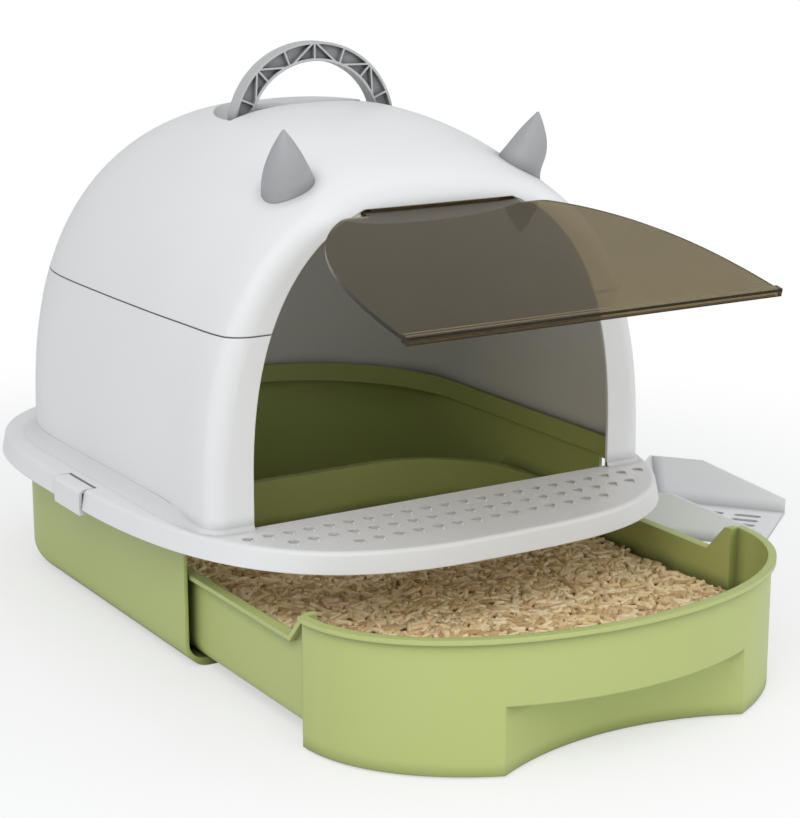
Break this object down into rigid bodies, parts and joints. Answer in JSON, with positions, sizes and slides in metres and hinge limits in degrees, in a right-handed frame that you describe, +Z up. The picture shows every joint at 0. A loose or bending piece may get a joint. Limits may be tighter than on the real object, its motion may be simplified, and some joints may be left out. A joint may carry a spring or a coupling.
{
  "type": "hooded litter box",
  "caption": "Hooded cat litter box with a pull-out drawer, two-piece domed hood, swinging smoked flap, perforated entrance step, folding carry handle, side clips and a slotted scoop.",
  "frame": {"origin": "middle of the tray's foot, on the floor", "axes": "+Z up, -Y towards the entrance, +X to the right seen from behind the entrance"},
  "size_m": [0.7139, 0.7501, 0.4658],
  "materials": {
    "green": "satin",
    "white": "gloss",
    "grey": "satin",
    "handle": "satin",
    "smoked": "smoked see-through plastic",
    "litter": "loose pellets",
    "pin": "gloss"
  },
  "bodies": {
    "shell": {"base_tray": "green", "lower_hood": "white", "upper_hood": "white", "left_ear": "grey", "right_ear": "grey", "left_flap_pin": "pin", "right_flap_pin": "pin", "left_handle_pin": "pin", "right_handle_pin": "pin", "left_latch_pin": "pin", "right_latch_pin": "pin"},
    "drawer": {"litter_drawer": "green", "litter_bed": "litter"},
    "flap": {"flap_door": "smoked"},
    "handle": {"carry_handle": "handle"},
    "left_clip": {"left_latch": "white"},
    "right_clip": {"right_latch": "white"},
    "scoop": {"litter_scoop": "white"}
  },
  "joints": [
    {"name": "drawer_slide", "type": "slide", "parent": "shell", "child": "drawer", "axis": [0, 1, 0], "range_m": [-0.12, 0.181]},
    {"name": "flap_hinge", "type": "hinge", "parent": "shell", "child": "flap", "pos_m": [0, -0.2412, 0.355], "axis": [1, 0, 0], "range_deg": [0, 137]},
    {"name": "handle_fold", "type": "hinge", "parent": "shell", "child": "handle", "pos_m": [0, -0.049, 0.3948], "axis": [-1, 0, 0], "range_deg": [0, 90]},
    {"name": "left_clip_hinge", "type": "hinge", "parent": "shell", "child": "left_clip", "pos_m": [-0.2251, -0.059, 0.119], "axis": [0, 1, 0], "range_deg": [0, 35]},
    {"name": "right_clip_hinge", "type": "hinge", "parent": "shell", "child": "right_clip", "pos_m": [0.2251, -0.059, 0.119], "axis": [0, -1, 0], "range_deg": [0, 35]},
    {"name": "scoop_lift", "type": "slide", "parent": "shell", "child": "scoop", "axis": [0, 0, 1], "range_m": [0, 0.3]}
  ]
}
